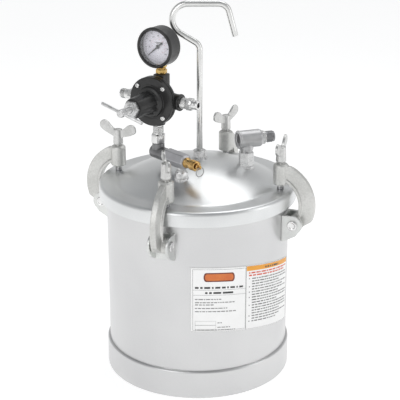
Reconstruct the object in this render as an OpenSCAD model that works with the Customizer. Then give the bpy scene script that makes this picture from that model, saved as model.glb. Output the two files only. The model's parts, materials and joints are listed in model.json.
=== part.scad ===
// Resin pressure pot: a clamped steel tank with an air regulator, a fluid outlet and a hanging hook.
// Millimetres, +Z up. The origin is the centre of the foot ring, on the floor; the front clamp is on -Y.

/* [Tank] */
// Outer radius of the tank shell
shell_r = 122; // [121:0.5:123]
// Thickness of the tank sheet
shell_wall = 1.5; // [1.2:0.1:2]
// Outer radius of the foot ring
foot_r = 125.3; // [124:0.1:126]
// Height of the foot ring
foot_h = 38.4; // [34:0.2:42]
// Outer radius of the rolled rim
rim_r = 127; // [126:0.5:128]

/* [Lid] */
// Outer radius of the lid
lid_r = 132; // [131:0.5:133]
// Height of the lid's flat seat, where the screws press
lid_top = 262; // [258:1:266]
// Thickness of the lid
lid_wall = 3; // [2.5:0.1:3.2]
// Depth of the lid's skirt
skirt_h = 20; // [18:1:21]
// Radius where the dome starts
dome_r = 107; // [104:1:108]
// Height of the dome over the seat
dome_h = 30; // [27:1:32]

/* [Clamps] */
// Radius of the clamp screws' circle
screw_circle = 115; // [114:0.5:116]
// Radius of the clamp pivots' circle
pivot_circle = 136; // [136:0.5:137]
// Height of the clamp pivots
pivot_z = 218; // [217:0.5:219]
// Radius of the screw thread
thread_r = 5; // [4.5:0.1:5.2]

/* [Hook] */
// Radius of the hook rod
rod_r = 4.1; // [3.5:0.1:4.3]
// Height of the hook's top run, measured to the rod's axis
hook_top = 497.8; // [490:0.2:500]

/* [Air line] */
// Distance of the air port from the tank axis
air_port_y = 61; // [58:1:64]
// Height of the manifold's axis
manifold_z = 306.5; // [305:0.5:308]
// Distance along the manifold from the air port to the regulator
riser_t = 47.5; // [46:0.5:49]
// Height of the regulator's axis
reg_z = 378.5; // [376:0.5:381]
// Radius of the regulator's flange
reg_r = 32; // [30:0.5:33]
// Height of the gauge's centre
gauge_z = 446.5; // [446:0.5:448]
// Radius of the gauge case
gauge_r = 25.7; // [25:0.1:26.5]

/* [Fluid outlet] */
// Distance of the outlet port from the tank axis
outlet_r = 64.3; // [62:0.5:66]
// Height of the outlet tee's axis
tee_z = 319; // [317:0.5:321]

/* [Label] */
// Height of the label
label_h = 90; // [80:1:95]
// Angle that the label covers round the tank
label_span = 80; // [70:1:85]

/* [Hidden] */
$fn = 64;
eps = 0.01;
play = 0.05;              // radial clearance of every running fit

// Tank
shell_in = shell_r - shell_wall;
rim_z = 246;
rim_h = 8;
shell_base_z = 12;        // underside of the dished bottom
knuckle_r = 22;           // bend between the shell and its bottom
gasket_in = 118;

// Lid: the dome is a piece of a sphere
dome_sphere_r = (dome_r * dome_r + dome_h * dome_h) / (2 * dome_h);
dome_centre_z = lid_top + dome_h - dome_sphere_r;
shoulder_r = 5;
skirt_wall = 2.7;
lid_under = lid_top - lid_wall;
gasket_z = rim_z + rim_h;
air_spigot_r = 6;
outlet_spigot_r = 7;
outlet_angle = 17.3;      // the outlet port, round the tank axis
outlet_x = outlet_r * cos(outlet_angle);
outlet_y = outlet_r * sin(outlet_angle);

// Clamps: each is drawn with its radius along +X, then turned to its own angle
front_angle = -90;
right_angle = 0;
back_angle = 90;
left_angle = 180;
boss_r = 10;
boss_z = 269.5;
boss_h = 27.5;
arm_centre = [105, 241.5];  // centre of the C, as radius and height
arm_top = 294;            // the C is cut flat at this height
arm_heel = arm_centre + [54, -19.5];
arm_toe = arm_centre + [39.5, -28.5];
beam_z = 272;
beam_h = arm_top - beam_z;
arm_in_r = 36.5;
arm_out_r = 57.4;
arm_web = 8;
arm_flange = 13;
flange_deep = 4;
arm_hub_r = 9.8;
arm_hub_w = 20;
pin_r = 4;
pin_head_r = 6.8;
bracket_w = 28;
bracket_gap = 21;
bracket_plate = 3.5;
bracket_z = 194;
ear_r = 12.5;
wing_hub_z = 299.5;
wing_top = 320;
wing_hub_r = 7;
wing_top_r = 6;
wing_foot = 308.6;        // height where a wing's lower edge leaves the hub
wing_reach = 23;
wing_z = 322.3;
wing_end_r = 7.2;
pad_r = 4.5;
pad_h = 3.5;
pad_stub_r = 2;
pad_z = lid_top + 0.1;

// Hook, in the upright plane through the tank axis at hook_angle
hook_angle = 20;
boss_top_z = 303;
hook_at = [2.2, 0.8];     // the welded boss is a little off the tank's axis
bend_step = 0.03;         // the rod is a hair thinner in its bends
bend_lap = 0.3;           // and its straights run this far into them
hook_bend_r = 12;         // first bend, off the axis
hook_bend = 59;
hook_loop_r = 20.5;       // large bend, back over the top
hook_loop = 149;
hook_loop_u = -14.5;
hook_nose_r = 14;         // last bend, down to the tip
hook_nose = 75;
hook_nose_u = 24;
hook_tip = 32;            // straight end
loop_z = hook_top - hook_loop_r;
loop_start = [hook_loop_u - hook_loop_r * cos(hook_bend), loop_z - hook_loop_r * sin(hook_bend)];
bend_end_u = -hook_bend_r * (1 - cos(hook_bend));
bend_len = (bend_end_u - loop_start[0]) / sin(hook_bend);
bend_z = loop_start[1] - bend_len * cos(hook_bend) - hook_bend_r * sin(hook_bend);

// Air line: the manifold runs from the air port, and the regulator stands on it
manifold_angle = 150;
manifold_flat = 9;        // half the hexagon bar's width across flats
manifold_end = 30;        // end of the bar, along the manifold
tee_end = 58.3;
air_nut_z = 282.5;
air_nut_top = 292.5;
reg_x = riser_t * cos(manifold_angle);
reg_y = -air_port_y + riser_t * sin(manifold_angle);
reg_facing = -102;
reg_foot_z = reg_z - 34;
relief_eye = -36.8;        // cross hole in the relief stem's tab, along the manifold
relief_tab = 2.2;
pull_ring_r = 6;
union_z = 319.5;
union_top = 332;
reg_body_back = -17;
reg_body_front = 11;
diaphragm_t = 1.2;
bonnet_s = reg_body_front + diaphragm_t;
bonnet_flange = 5;
housing_end = 56;
nut_end = 62.5;
t_bar_s = 80;
t_bar_len = 63;
t_bar_tilt = -15.5;
t_screw_r = 4;
bonnet_screw_c = 19;      // each screw's distance from the axis, sideways and up
spring_seat_s = 47;
seat_t = 3;
stem_hex_z = 410;
needle_rest = -50;
stem_back = -9;           // the gauge's stem stands this far behind the regulator's axis
gauge_back = -4.7;        // and the gauge's middle this far
stem_r = 5;

// Label: its edges lie in two parallel planes that lean a little round the tank
label_start = -74.5;
label_lean = 26.6;
label_mid_z = 140.4 - label_lean;
label_t = 0.4;

// Places its children on the radius at angle a
module at_angle(a) {
    rotate([0, 0, a]) children();
}

// A cylinder along +X from x0 to x1
module x_rod(r, x0, x1, sides = 64) {
    translate([x0, 0, 0]) rotate([0, 90, 0]) cylinder(r = r, h = x1 - x0, $fn = sides);
}

// A tapered cylinder along +X
module x_cone(r0, r1, x0, x1) {
    translate([x0, 0, 0]) rotate([0, 90, 0]) cylinder(r1 = r0, r2 = r1, h = x1 - x0);
}

// A hexagon along +X with its flats above and below
module x_hex(flat, x0, x1) {
    rotate([30, 0, 0]) x_rod(flat / cos(30), x0, x1, 6);
}

// A cylinder along +Z between two heights
module z_rod(r, z0, z1, sides = 64) {
    translate([0, 0, z0]) cylinder(r = r, h = z1 - z0, $fn = sides);
}

module dome_space() {
    translate([0, 0, dome_centre_z]) sphere(r = dome_sphere_r);
}

module at_air_port() {
    translate([0, -air_port_y, 0]) children();
}

module at_hook() {
    translate([hook_at[0], hook_at[1], 0]) children();
}

module at_outlet() {
    translate([outlet_x, outlet_y, 0]) children();
}

// Frame of the manifold: +X runs from the air port towards the regulator
module at_manifold() {
    translate([0, -air_port_y, manifold_z]) rotate([0, 0, manifold_angle]) children();
}

// Frame of the regulator: +X is the way that it faces, +Y its outlet side
module at_regulator() {
    translate([reg_x, reg_y, reg_z]) rotate([0, 0, reg_facing]) children();
}

module at_gauge() {
    translate([reg_x, reg_y, gauge_z]) rotate([0, 0, reg_facing]) translate([gauge_back, 0, 0])
        children();
}

// Tank

module shell_profile(r, bottom) {
    // half section of the space inside radius r, over a bottom that bends in by the knuckle
    bend = knuckle_r - (shell_r - r);
    polygon(concat(
        [[0, bottom], [r - bend - 30, bottom + 1]],
        [for (a = [-70 : 10 : 0]) [r - bend + bend * cos(a), bottom + 4 + bend * (1 + sin(a))]],
        [[r, rim_z], [0, rim_z]]
    ));
}

module tank_shell() {
    color("silver") difference() {
        rotate_extrude($fn = 128) shell_profile(shell_r, shell_base_z);
        translate([0, 0, eps]) rotate_extrude($fn = 128)
            shell_profile(shell_in, shell_base_z + shell_wall);
        z_rod(shell_in, rim_z - 1, rim_z + 1, 128);
    }
}

module foot_ring() {
    color("silver") difference() {
        z_rod(foot_r, 0, foot_h, 128);
        z_rod(shell_r, -1, foot_h + 1, 128);
    }
}

module tank_rim() {
    color("silver") translate([0, 0, rim_z]) rotate_extrude($fn = 128) polygon([
        [gasket_in, 0], [rim_r - 1.5, 0], [rim_r, 1.5], [rim_r, rim_h - 2],
        [rim_r - 2, rim_h], [gasket_in + 1.5, rim_h], [gasket_in, rim_h - 1.5]
    ]);
}

module ear_profile() {
    // side view of a bracket, as radius and height
    difference() {
        union() {
            polygon([
                [shell_r - 4, bracket_z], [shell_r + 2, bracket_z], [pivot_circle + 4.5, bracket_z + 9],
                [pivot_circle + ear_r, pivot_z - 3], [pivot_circle + ear_r, pivot_z],
                [pivot_circle, pivot_z + ear_r], [shell_r - 4, pivot_z + ear_r]
            ]);
            translate([pivot_circle, pivot_z]) circle(r = ear_r);
        }
        translate([pivot_circle, pivot_z]) circle(r = pin_r);
    }
}

module bracket(a) {
    color("silver") at_angle(a) difference() {
        translate([0, bracket_w / 2, 0]) rotate([90, 0, 0]) linear_extrude(bracket_w) ear_profile();
        translate([shell_r + bracket_plate, -bracket_gap / 2, bracket_z - 1])
            cube([40, bracket_gap, 60]);
        z_rod(shell_r, bracket_z - 5, pivot_z + 30, 128);
    }
}

module bracket_front() { bracket(front_angle); }
module bracket_right() { bracket(right_angle); }
module bracket_back() { bracket(back_angle); }
module bracket_left() { bracket(left_angle); }

// One pivot pin lies along Y with its head on the side given
module pivot_pin(a, side) {
    at_angle(a) translate([pivot_circle, 0, pivot_z]) rotate([-90 * side, 0, 0]) {
        z_rod(pin_r, -bracket_w / 2 - 3.2, bracket_w / 2);
        z_rod(pin_head_r, bracket_w / 2, bracket_w / 2 + 2.4);
    }
}

module pivot_pins() {
    color("gainsboro") {
        pivot_pin(front_angle, 1);
        pivot_pin(right_angle, -1);
        pivot_pin(back_angle, 1);
        pivot_pin(left_angle, 1);
    }
}

module pin_clip(a, side) {
    at_angle(a) translate([pivot_circle, 0, pivot_z]) rotate([-90 * side, 0, 0]) difference() {
        z_rod(6.2, -bracket_w / 2 - 1.4, -bracket_w / 2);
        z_rod(pin_r, -bracket_w / 2 - 2, 0);
    }
}

module pin_clips() {
    color("gray") {
        pin_clip(front_angle, 1);
        pin_clip(right_angle, -1);
        pin_clip(back_angle, 1);
        pin_clip(left_angle, 1);
    }
}

module spec_label() {
    // a slice of a thin tube, cut by a leaning slab and by its two ends
    lean_angle = atan(label_lean / shell_r);
    slab = label_h * cos(lean_angle);
    color("white") intersection() {
        difference() {
            z_rod(shell_r + label_t, 0, rim_z, 128);
            z_rod(shell_r, -1, rim_z + 1, 128);
        }
        translate([0, 0, label_mid_z]) rotate([0, 0, label_start]) rotate([0, -lean_angle, 0])
            translate([-200, -200, -slab / 2]) cube([400, 400, slab]);
        linear_extrude(rim_z) polygon([
            [0, 0],
            [200 * cos(label_start), 200 * sin(label_start)],
            [240 * cos(label_start + label_span / 2), 240 * sin(label_start + label_span / 2)],
            [200 * cos(label_start + label_span), 200 * sin(label_start + label_span)]
        ]);
    }
}

// Lid

module lid_shell() {
    color("darkgray") difference() {
        union() {
            intersection() {
                difference() {
                    dome_space();
                    translate([0, 0, dome_centre_z]) sphere(r = dome_sphere_r - lid_wall);
                }
                z_rod(dome_r, lid_under, lid_top + dome_h + 5, 128);
            }
            rotate_extrude($fn = 128) polygon(concat(
                [[dome_r - 2, lid_under], [dome_r, lid_top]],
                [for (a = [90 : -15 : 0])
                    [lid_r - shoulder_r + shoulder_r * cos(a), lid_top - shoulder_r + shoulder_r * sin(a)]],
                [[lid_r, lid_top - skirt_h], [lid_r - skirt_wall, lid_top - skirt_h],
                 [lid_r - skirt_wall, lid_under]]
            ));
        }
        at_air_port() z_rod(air_spigot_r, lid_top, lid_top + dome_h);
        at_outlet() z_rod(outlet_spigot_r, lid_top, lid_top + dome_h);
    }
}

module lid_gasket() {
    color("dimgray") difference() {
        z_rod(lid_r - skirt_wall - 0.3, gasket_z, lid_under, 128);
        z_rod(gasket_in, gasket_z - 1, lid_under + 1, 128);
    }
}

module centre_boss() {
    color("lightgray") difference() {
        at_hook() {
            z_rod(8.7, lid_top + dome_h - 3, boss_top_z - 1);
            translate([0, 0, boss_top_z - 1]) cylinder(r1 = 8.7, r2 = 7.7, h = 1);
        }
        dome_space();
        at_hook() z_rod(rod_r, lid_top + dome_h + 2, boss_top_z + 1);
    }
}

// A bend of the hook: starts at angle a0 round its centre and turns through sweep
module rod_bend(centre, r, a0, sweep) {
    translate([centre[0], 0, centre[1]]) rotate([90, 0, 0]) rotate([0, 0, a0])
        rotate_extrude(angle = sweep) translate([r, 0]) circle(r = rod_r - bend_step);
}

// A straight of the hook: from a point, along a direction measured up from +X
module rod_straight(start, direction, len) {
    translate([start[0], 0, start[1]]) rotate([0, 90 - direction, 0])
        translate([0, 0, -bend_lap]) cylinder(r = rod_r, h = len + 2 * bend_lap);
}

module hook_rod() {
    nose_centre = [hook_nose_u, hook_top - hook_nose_r];
    nose_end = nose_centre + hook_nose_r * [cos(90 - hook_nose), sin(90 - hook_nose)];
    foot_z = lid_top + dome_h + 2 + bend_lap + play;
    color("silver") at_hook() at_angle(hook_angle) {
        rod_straight([0, foot_z], 90, bend_z - foot_z);
        rod_bend([-hook_bend_r, bend_z], hook_bend_r, 0, hook_bend);
        rod_straight(loop_start, hook_bend - 90, bend_len);
        rod_bend([hook_loop_u, loop_z], hook_loop_r, 90, hook_loop);
        rod_straight([hook_loop_u, hook_top], 0, hook_nose_u - hook_loop_u);
        rod_bend(nose_centre, hook_nose_r, 90 - hook_nose, hook_nose);
        rod_straight(nose_end, -hook_nose, hook_tip);
    }
}

module air_port() {
    color("lightgray") at_air_port() difference() {
        union() {
            z_rod(air_spigot_r, lid_top + 8, air_nut_top);
            difference() {
                z_rod(8.6, air_nut_z - 6, air_nut_top, 6);
                translate([0, air_port_y, 0]) dome_space();
            }
            z_rod(air_spigot_r, air_nut_top - eps, manifold_z - manifold_flat);
            z_rod(4.2, manifold_z - manifold_flat - eps, manifold_z - 5);
        }
        z_rod(3, lid_top, manifold_z);
    }
}

module outlet_port() {
    color("lightgray") at_outlet() difference() {
        union() {
            z_rod(outlet_spigot_r, lid_top + 4, tee_z - 13);
            difference() {
                z_rod(10.4, lid_top + 12, tee_z - 16, 6);
                translate([-outlet_x, -outlet_y, 0]) dome_space();
            }
        }
        z_rod(4.5, lid_top, tee_z);
        z_rod(6, lid_top, lid_top + 14);
    }
}

module dip_tube() {
    color("silver") at_outlet() difference() {
        z_rod(6, 20, lid_top + 14);
        z_rod(4.8, 19, lid_top + 15);
    }
}

// Clamps

module arm_profile(depth) {
    // side view of the C, from its inner edge outwards by depth
    difference() {
        intersection() {
            translate(arm_centre) circle(r = arm_in_r + depth, $fn = 96);
            polygon([
                arm_centre, arm_centre + [35, 95], arm_centre + [100, 100],
                arm_centre + [100, -40], arm_heel, arm_toe
            ]);
            square([300, arm_top]);
        }
        translate(arm_centre) circle(r = arm_in_r, $fn = 96);
    }
}

module top_beam(depth) {
    // straight part of the C, from the screw boss to the bend
    translate([screw_circle, beam_z]) square([arm_centre[0] + 17 - screw_circle, depth]);
    translate([screw_circle + 5, beam_z + 0.2]) square([9, depth - 0.8]);
}

// Stands a side view up, so that it is w wide and centred on the radius
module upright(w) {
    translate([0, w / 2, 0]) rotate([90, 0, 0]) linear_extrude(w) children();
}

module clamp_arm(a) {
    color("gainsboro") at_angle(a) difference() {
        union() {
            upright(arm_web) {
                arm_profile(arm_out_r - arm_in_r);
                top_beam(beam_h);
                translate([pivot_circle, pivot_z]) circle(r = arm_hub_r);
                polygon([
                    [pivot_circle - 2, pivot_z + 9.5], [pivot_circle + 9.5, pivot_z + 13],
                    arm_heel, [pivot_circle + 5.5, pivot_z - 8]
                ]);
            }
            upright(arm_flange) {
                arm_profile(flange_deep);
                top_beam(flange_deep);
            }
            translate([pivot_circle, arm_hub_w / 2, pivot_z]) rotate([90, 0, 0])
                cylinder(r = arm_hub_r, h = arm_hub_w);
            translate([screw_circle, 0, 0]) {
                z_rod(boss_r, boss_z, boss_z + boss_h - 2);
                translate([0, 0, boss_z + boss_h - 2]) cylinder(r1 = boss_r, r2 = boss_r - 2, h = 2);
            }
        }
        translate([screw_circle, 0, 0]) z_rod(thread_r + play, boss_z - 5, boss_z + boss_h + 5);
        translate([pivot_circle, 20, pivot_z]) rotate([90, 0, 0]) cylinder(r = pin_r + play, h = 40);
    }
}

module clamp_arm_front() { clamp_arm(front_angle); }
module clamp_arm_right() { clamp_arm(right_angle); }
module clamp_arm_back() { clamp_arm(back_angle); }
module clamp_arm_left() { clamp_arm(left_angle); }

module screw_pad(a) {
    color("gray") at_angle(a) translate([screw_circle, 0, 0]) {
        z_rod(pad_r, pad_z, pad_z + pad_h);
        z_rod(pad_stub_r, pad_z + pad_h - eps, pad_z + pad_h + 5);
    }
}

module screw_pad_front() { screw_pad(front_angle); }
module screw_pad_right() { screw_pad(right_angle); }
module screw_pad_back() { screw_pad(back_angle); }
module screw_pad_left() { screw_pad(left_angle); }

// One wing of the screw, drawn on the XZ plane
module wing(side) {
    mirror([side < 0 ? 1 : 0, 0, 0]) upright(3.4) {
        translate([wing_reach, wing_z]) circle(r = wing_end_r);
        polygon([
            [3, wing_foot], [6, wing_foot + 0.2], [wing_reach + 3.2, wing_z - wing_end_r + 0.8],
            [wing_reach - 2.6, wing_z + wing_end_r - 0.5], [6, wing_top - 0.6], [3, wing_top - 0.8]
        ]);
    }
}

module wing_screw(a, wing_angle) {
    color("silver") rotate([0, 0, a]) translate([screw_circle, 0, 0]) difference() {
        rotate([0, 0, wing_angle - a]) {
            z_rod(thread_r, pad_z + pad_h + 0.1, wing_hub_z);
            translate([0, 0, wing_hub_z])
                cylinder(r1 = wing_hub_r, r2 = wing_top_r, h = wing_top - wing_hub_z);
            wing(1);
            wing(-1);
        }
        z_rod(pad_stub_r + play, pad_z, pad_z + pad_h + 5.5);
    }
}

module wing_screw_front() { wing_screw(front_angle, 119); }
module wing_screw_right() { wing_screw(right_angle, 94); }
module wing_screw_back() { wing_screw(back_angle, 76); }
module wing_screw_left() { wing_screw(left_angle, 165); }

// Air line

module manifold_body() {
    color("darkgray") at_manifold() difference() {
        x_hex(manifold_flat, -10, manifold_end);
        x_rod(3.5, -7, manifold_end + 1);
        x_rod(5.4, -11, -6);
        x_rod(5, manifold_end - 7, manifold_end + 1);
        z_rod(4.2, -manifold_flat - 1, 0);
    }
}

module manifold_ring() {
    color("lightgray") at_manifold() difference() {
        x_rod(8.3, manifold_end, manifold_end + 2);
        x_rod(5, manifold_end - 1, manifold_end + 3);
    }
}

module manifold_tee() {
    color("dimgray") at_manifold() difference() {
        union() {
            x_rod(5 - play, manifold_end - 7, manifold_end + 2.5);
            x_rod(8.8, manifold_end + 2, tee_end - 2);
            x_cone(8.8, 7.3, tee_end - 2, tee_end);
            translate([riser_t, 0, 0]) z_rod(8, 0, union_z - manifold_z);
        }
        x_rod(3.5, manifold_end - 8, riser_t + 7.5);
        translate([riser_t, 0, 0]) z_rod(3.5, 0, 20);
        translate([riser_t, 0, 0]) z_rod(5.5, 5, 20);
    }
}

module union_nut() {
    color("lightgray") at_manifold() translate([riser_t, 0, -manifold_z]) difference() {
        union() {
            rotate([0, 0, 12]) z_rod(9.8, union_z, union_top, 6);
            z_rod(5.5, manifold_z + 6, union_z + eps);
        }
        z_rod(3.5, manifold_z, union_top + 1);
        z_rod(5.5, union_top - 6, union_top + 1);
    }
}

module riser_nipple() {
    color("lightgray") at_manifold() translate([riser_t, 0, -manifold_z]) difference() {
        union() {
            z_rod(7.2, union_top, reg_foot_z);
            z_rod(5.5, union_top - 6, reg_foot_z + 7);
        }
        z_rod(3.5, union_top - 7, reg_foot_z + 8);
    }
}

module relief_body() {
    color("goldenrod") at_manifold() difference() {
        union() {
            x_rod(5.4, -10, -6.2);
            x_rod(7, -13.5, -10);
            x_rod(5, -20, -13.5);
            x_rod(6.8, -31, -20);
        }
        x_rod(2.2, -11, -3);
        x_rod(3.8, -29, -11);
        x_rod(1.6, -32, -28);
    }
}

module relief_stem() {
    color("goldenrod") at_manifold() difference() {
        union() {
            x_rod(3.6, -14.2, -12);
            x_rod(1.5, -34, -14);
            x_cone(3.6, 4.4, -34.6, -33);
            intersection() {
                x_rod(3.2, -39, -34);
                translate([-40, -relief_tab / 2, -5]) cube([10, relief_tab, 10]);
            }
        }
        translate([relief_eye, -5, 0]) rotate([-90, 0, 0]) cylinder(r = 1.05, h = 10);
    }
}

module relief_spring() {
    color("gray") at_manifold() difference() {
        x_rod(3.3, -28.7, -14.5);
        x_rod(2.0, -29, -14);
    }
}

// A split ring through the stem's cross hole, hanging in the plane across the manifold
module relief_ring() {
    color("silver") at_manifold() translate([relief_eye, 0, -pull_ring_r]) rotate([0, 90, 0])
        rotate_extrude() translate([pull_ring_r, 0]) circle(r = 0.75);
}

// Fluid outlet

module at_tee() {
    at_outlet() translate([0, 0, tee_z]) rotate([0, 0, 40]) children();
}

module outlet_tee() {
    color("silver") at_tee() difference() {
        union() {
            x_rod(12.2, -12.5, 18.5);
            x_cone(12.2, 10.6, 18.5, 20.5);
            z_rod(9.4, -14.5, 0);
        }
        x_rod(9.5, -13, 3);
        x_rod(5.5, 2, 21);
        z_rod(outlet_spigot_r, -16, -9);
        z_rod(4.5, -16, 0);
    }
}

module outlet_nipple() {
    color("lightgray") at_tee() difference() {
        union() {
            x_rod(5.5, 14, 22);
            x_hex(7.9, 20.5, 26);
            x_rod(7.75, 25, 38.5);
        }
        x_rod(3.8, 13, 39);
    }
}

// Regulator, with +X the way that it faces

module regulator_body() {
    color("#262626") at_regulator() difference() {
        union() {
            x_rod(20, -8, 5);
            x_rod(14, reg_body_back, -7.9);
            x_rod(reg_r, 5, reg_body_front);
            rotate([0, 0, 90]) x_rod(10, 0, 36);
            rotate([0, 0, -90]) x_rod(10, 0, 36);
            z_rod(9.5, -34, 0);
            translate([stem_back - 8, -8, 0]) cube([16, 16, stem_hex_z - reg_z]);
        }
        x_rod(17, 6, reg_body_front + 1);
        x_rod(6, -12, 7);
        rotate([0, 0, 90]) x_rod(3.5, -30, 30);
        rotate([0, 0, 90]) x_rod(6.6, 29, 37);
        rotate([0, 0, -90]) x_rod(5.8, 27, 37);
        z_rod(3.5, -28, 0);
        z_rod(5.5, -35, -27);
        translate([stem_back, 0, 0]) z_rod(2.5, 0, 25);
        translate([stem_back, 0, 0]) z_rod(stem_r, 24.5, 40);
        bonnet_screw_places() x_rod(1.75, 6, reg_body_front + 1);
    }
}

module bonnet_screw_places() {
    for (y = [-1, 1], z = [-1, 1])
        translate([0, y * bonnet_screw_c, z * bonnet_screw_c]) children();
}

module diaphragm() {
    color("black") at_regulator() x_rod(22, reg_body_front, bonnet_s);
}

module regulator_bonnet() {
    color("#262626") at_regulator() difference() {
        union() {
            x_rod(reg_r, bonnet_s, bonnet_s + bonnet_flange);
            x_rod(22, bonnet_s + bonnet_flange - eps, bonnet_s + bonnet_flange + 3.5);
            x_cone(15, 13, bonnet_s + bonnet_flange + 3, housing_end);
        }
        x_rod(10.6, bonnet_s - 1, housing_end - 3);
        x_rod(17, bonnet_s - 1, bonnet_s + 3);
        x_rod(7, housing_end - 4, housing_end + 1);
        bonnet_screw_places() x_rod(1.75, bonnet_s - 1, bonnet_s + bonnet_flange + 1);
    }
}

module bonnet_screws() {
    color("gainsboro") at_regulator() bonnet_screw_places() {
        x_rod(1.75, 6.2, bonnet_s + bonnet_flange + eps);
        x_rod(3.3, bonnet_s + bonnet_flange, bonnet_s + bonnet_flange + 2);
    }
}

module bonnet_nut() {
    color("gainsboro") at_regulator() difference() {
        union() {
            x_hex(9.6, housing_end, nut_end);
            x_rod(7, housing_end - 3, housing_end + eps);
        }
        x_rod(t_screw_r + play, housing_end - 4, nut_end + 1);
    }
}

module regulator_spring() {
    color("gray") at_regulator() difference() {
        x_rod(8.5, bonnet_s + 0.1, spring_seat_s - 0.1);
        x_rod(6.5, bonnet_s - 1, spring_seat_s + 1);
    }
}

module spring_seat() {
    color("gray") at_regulator() difference() {
        x_rod(10, spring_seat_s, spring_seat_s + seat_t);
        x_rod(1.8, spring_seat_s + 1.5, spring_seat_s + seat_t + 1);
    }
}

module t_screw() {
    color("gainsboro") at_regulator() difference() {
        union() {
            x_rod(1.7, spring_seat_s + 1.7, spring_seat_s + seat_t + 0.3);
            x_rod(t_screw_r, spring_seat_s + seat_t + 0.2, t_bar_s - 4);
            x_rod(5.2, t_bar_s - 5, t_bar_s + 4);
            x_cone(5.2, 4, t_bar_s + 4, t_bar_s + 5.5);
        }
        translate([t_bar_s, 0, 0]) rotate([t_bar_tilt, 0, 0]) rotate([0, 0, 90]) x_rod(2.25, -10, 10);
    }
}

module t_bar() {
    color("gainsboro") at_regulator() translate([t_bar_s, 0, 0]) rotate([t_bar_tilt, 0, 0])
        rotate([0, 0, 90]) {
            x_rod(2.25, -t_bar_len / 2 + 0.8, t_bar_len / 2 - 0.8);
            x_cone(1.5, 2.25, -t_bar_len / 2, -t_bar_len / 2 + 0.8);
            x_cone(2.25, 1.5, t_bar_len / 2 - 0.8, t_bar_len / 2);
        }
}

module air_inlet_nipple() {
    color("silver") at_regulator() rotate([0, 0, -90]) difference() {
        union() {
            x_rod(5.8 - play, 27, 38);
            x_hex(8, 36, 43);
            x_rod(6.6, 42, 57);
        }
        x_rod(3.5, 26, 58);
    }
}

module air_outlet_fitting() {
    color("silver") at_regulator() rotate([0, 0, 90]) difference() {
        union() {
            x_rod(6.6 - play, 29, 36 + eps);
            x_rod(7.5, 36, 54);
            x_rod(6, 54, 62);
        }
        x_rod(3.25, 28, 63);
    }
}

// Gauge

module gauge_case() {
    color("#262626") at_gauge() difference() {
        x_rod(gauge_r, -12, 9);
        x_rod(gauge_r - 2, -10, 10);
        translate([stem_back - gauge_back, 0, 0]) z_rod(stem_r, -gauge_r - 1, 0);
    }
}

module gauge_bezel() {
    color("#262626") at_gauge() difference() {
        union() {
            x_rod(gauge_r + 0.6, 9, 12);
            x_cone(gauge_r + 0.6, gauge_r - 1.5, 12, 13.5);
        }
        x_rod(gauge_r - 1.6, 8, 12);
        x_rod(gauge_r - 4, 8, 15);
    }
}

module gauge_lens() {
    color("lightblue", 0.4) at_gauge() x_rod(gauge_r - 1.6, 10.2, 12);
}

module gauge_dial() {
    color("white") at_gauge() difference() {
        x_rod(gauge_r - 2, 1, 2);
        x_rod(1 + play, 0, 3);
    }
}

module gauge_needle() {
    // the pointer rests at the foot of the scale, low on the left
    color("black") at_gauge() {
        x_rod(1, -2, 5);
        x_rod(2.6, 3.2, 4.6);
        rotate([needle_rest, 0, 0]) translate([3.4, -0.9, -20]) cube([0.8, 1.8, 20]);
        rotate([needle_rest, 0, 0]) translate([3.4, -1.8, 0]) cube([0.8, 3.6, 9]);
    }
}

module gauge_stem() {
    color("goldenrod") at_gauge() translate([stem_back - gauge_back, 0, 0]) difference() {
        union() {
            rotate([0, 0, 10]) z_rod(8, stem_hex_z - gauge_z, -gauge_r - 0.5, 6);
            z_rod(stem_r - play, -gauge_z + stem_hex_z - 6, -19.5);
        }
        z_rod(1.5, -gauge_z + stem_hex_z - 7, -19);
    }
}

module bourdon_tube() {
    color("goldenrod") at_gauge() translate([-5, 0, 0]) {
        translate([-3, -3, -19.5]) cube([6, 6, 5]);
        rotate([0, 90, 0]) rotate_extrude(angle = 250) translate([16, 0]) circle(r = 2);
    }
}

tank_shell();
foot_ring();
tank_rim();
bracket_front();
bracket_right();
bracket_back();
bracket_left();
pivot_pins();
pin_clips();
spec_label();
lid_shell();
lid_gasket();
centre_boss();
hook_rod();
air_port();
outlet_port();
manifold_body();
manifold_ring();
manifold_tee();
union_nut();
riser_nipple();
relief_body();
relief_stem();
relief_spring();
relief_ring();
dip_tube();
outlet_tee();
outlet_nipple();
regulator_body();
regulator_bonnet();
bonnet_screws();
bonnet_nut();
diaphragm();
regulator_spring();
spring_seat();
t_screw();
t_bar();
air_inlet_nipple();
air_outlet_fitting();
gauge_case();
gauge_bezel();
gauge_lens();
gauge_dial();
gauge_needle();
gauge_stem();
bourdon_tube();
clamp_arm_front();
clamp_arm_right();
clamp_arm_back();
clamp_arm_left();
screw_pad_front();
screw_pad_right();
screw_pad_back();
screw_pad_left();
wing_screw_front();
wing_screw_right();
wing_screw_back();
wing_screw_left();
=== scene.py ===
import json
import math
import random

import bmesh
import bpy
from mathutils import Matrix, Vector


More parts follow.
